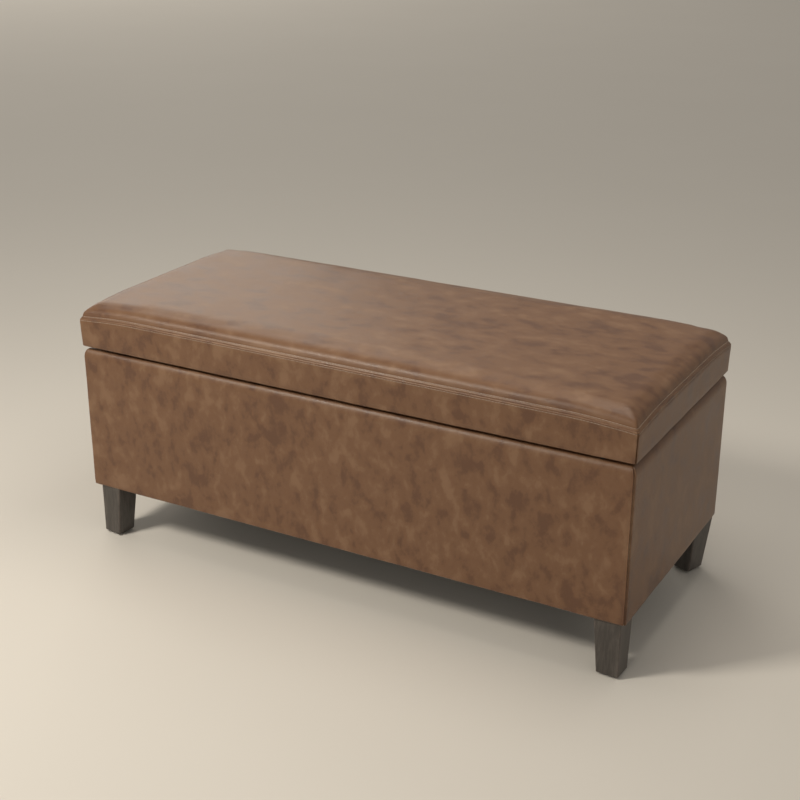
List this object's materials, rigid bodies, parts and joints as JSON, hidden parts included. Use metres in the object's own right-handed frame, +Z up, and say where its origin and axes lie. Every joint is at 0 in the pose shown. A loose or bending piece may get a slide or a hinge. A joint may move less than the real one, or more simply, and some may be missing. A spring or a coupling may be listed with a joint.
{
  "type": "storage bench",
  "caption": "Upholstered storage bench: a padded box on tapered legs with a hinged cushion lid held open by slotted stays.",
  "frame": {"origin": "centre of the footprint, on the floor", "axes": "+X along the bench to its right-hand end seen from the front, -Y is the front, +Z is up; the lid is closed"},
  "size_m": [1.1, 0.465, 0.476],
  "materials": {
    "body_leather": "distressed brown, satin",
    "lid_leather": "distressed brown, satin",
    "leg_wood": "espresso stain, satin",
    "plywood": "raw plywood",
    "pine": "raw softwood",
    "foam": "upholstery foam",
    "lining": "black needle felt",
    "dust_cloth": "black spun cloth",
    "glide_plastic": "matt",
    "bumper_rubber": "matt",
    "zinc_steel": "zinc plated",
    "stay_steel": "black satin"
  },
  "bodies": {
    "box": {"back_cover": "body_leather", "back_padding": "foam", "back_panel": "plywood", "base_cleats": "pine", "base_panel": "plywood", "body_hinge_screws": "zinc_steel", "corner_blocks": "pine", "dust_cover": "dust_cloth", "floor_lining": "lining", "front_cover": "body_leather", "front_padding": "foam", "front_panel": "plywood", "hinge_left_body_leaf": "zinc_steel", "hinge_left_pin": "zinc_steel", "hinge_middle_body_leaf": "zinc_steel", "hinge_middle_pin": "zinc_steel", "hinge_right_body_leaf": "zinc_steel", "hinge_right_pin": "zinc_steel", "left_cover": "body_leather", "left_padding": "foam", "left_panel": "plywood", "leg_back_left": "leg_wood", "leg_back_right": "leg_wood", "leg_bolts": "zinc_steel", "leg_front_left": "leg_wood", "leg_front_right": "leg_wood", "leg_glides": "glide_plastic", "leg_inserts": "zinc_steel", "lid_bumpers": "bumper_rubber", "panel_screws": "zinc_steel", "right_cover": "body_leather", "right_padding": "foam", "right_panel": "plywood", "stay_left_stud_plate": "stay_steel", "stay_right_stud_plate": "stay_steel", "stud_plate_screws": "zinc_steel", "wall_lining": "lining"},
    "lid": {"bracket_screws": "zinc_steel", "hinge_left_lid_leaf": "zinc_steel", "hinge_middle_lid_leaf": "zinc_steel", "hinge_right_lid_leaf": "zinc_steel", "lid_back_band": "lid_leather", "lid_board": "plywood", "lid_foam": "foam", "lid_front_band": "lid_leather", "lid_hinge_screws": "zinc_steel", "lid_left_band": "lid_leather", "lid_lining": "lining", "lid_right_band": "lid_leather", "lid_top_cover": "lid_leather", "stay_left_lid_bracket": "stay_steel", "stay_left_pivot": "stay_steel", "stay_right_lid_bracket": "stay_steel", "stay_right_pivot": "stay_steel"},
    "stay_left": {"stay_left_arm": "stay_steel"},
    "stay_right": {"stay_right_arm": "stay_steel"}
  },
  "joints": [
    {"name": "lid_hinge", "type": "hinge", "parent": "box", "child": "lid", "pos_m": [0, 0.23, 0.38725], "axis": [-1, 0, 0], "range_deg": [0, 95]},
    {"name": "stay_left_pivot", "type": "hinge", "parent": "lid", "child": "stay_left", "pos_m": [-0.52, 0.11038, 0.37678], "axis": [-1, 0, 0], "range_deg": [-47.5, 0]},
    {"name": "stay_right_pivot", "type": "hinge", "parent": "lid", "child": "stay_right", "pos_m": [0.52, 0.11038, 0.37678], "axis": [-1, 0, 0], "range_deg": [-47.5, 0]}
  ],
  "couplings": [
    {"joint": "stay_left_pivot", "follows": "lid_hinge", "ratio": -0.5},
    {"joint": "stay_right_pivot", "follows": "lid_hinge", "ratio": -0.5}
  ]
}
